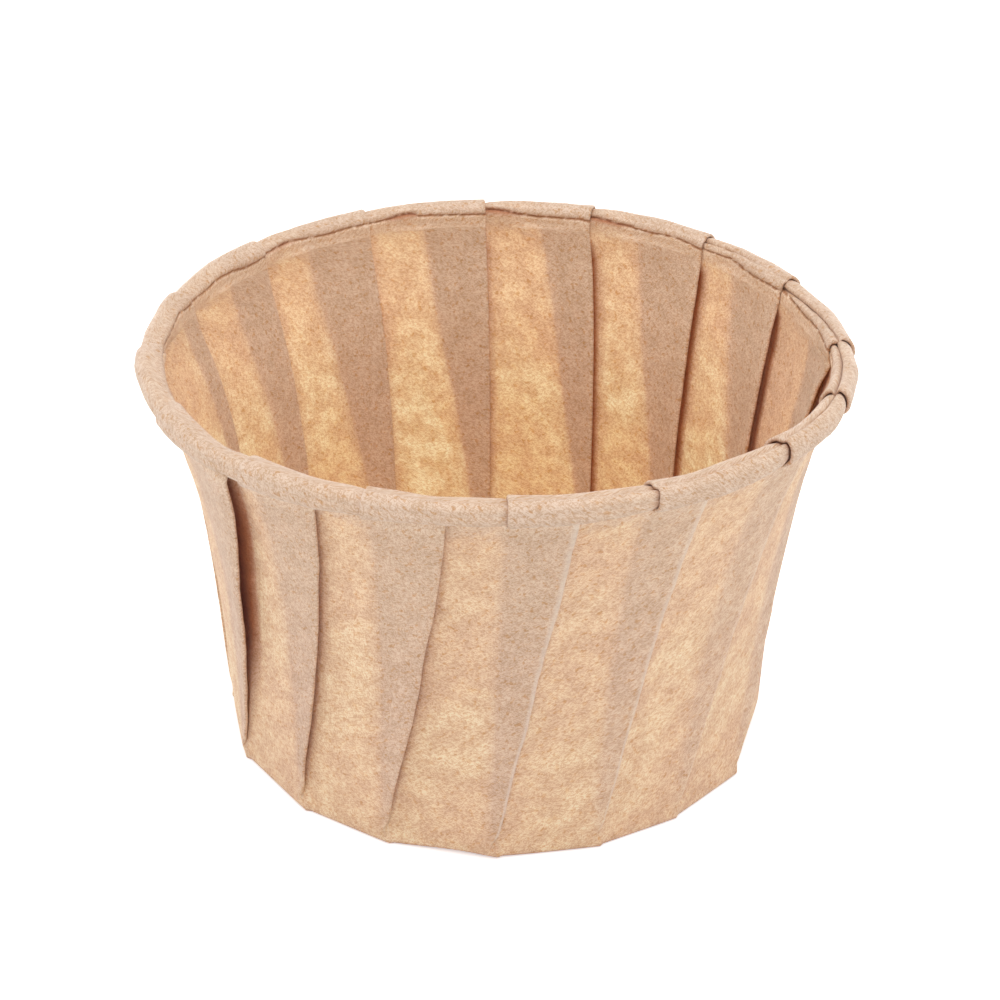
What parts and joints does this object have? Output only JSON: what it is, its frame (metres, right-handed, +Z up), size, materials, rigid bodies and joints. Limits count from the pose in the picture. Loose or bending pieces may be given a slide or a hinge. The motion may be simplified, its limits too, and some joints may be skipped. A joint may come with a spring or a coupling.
{
  "type": "cupcake liner",
  "caption": "Round pleated kraft paper baking cup with a flat base, a wall of knife pleats that flares a little, and a rim rolled outward into a bead.",
  "frame": {"origin": "centre of the flat base, on the surface that the cup stands on", "axes": "+Z up through the mouth; -Y is the side that faces the camera in the picture"},
  "size_m": [0.0732, 0.0732, 0.0446],
  "materials": {
    "kraft_paper": "matt, uncoated"
  },
  "bodies": {
    "root": {"liner": "kraft_paper"}
  },
  "joints": []
}
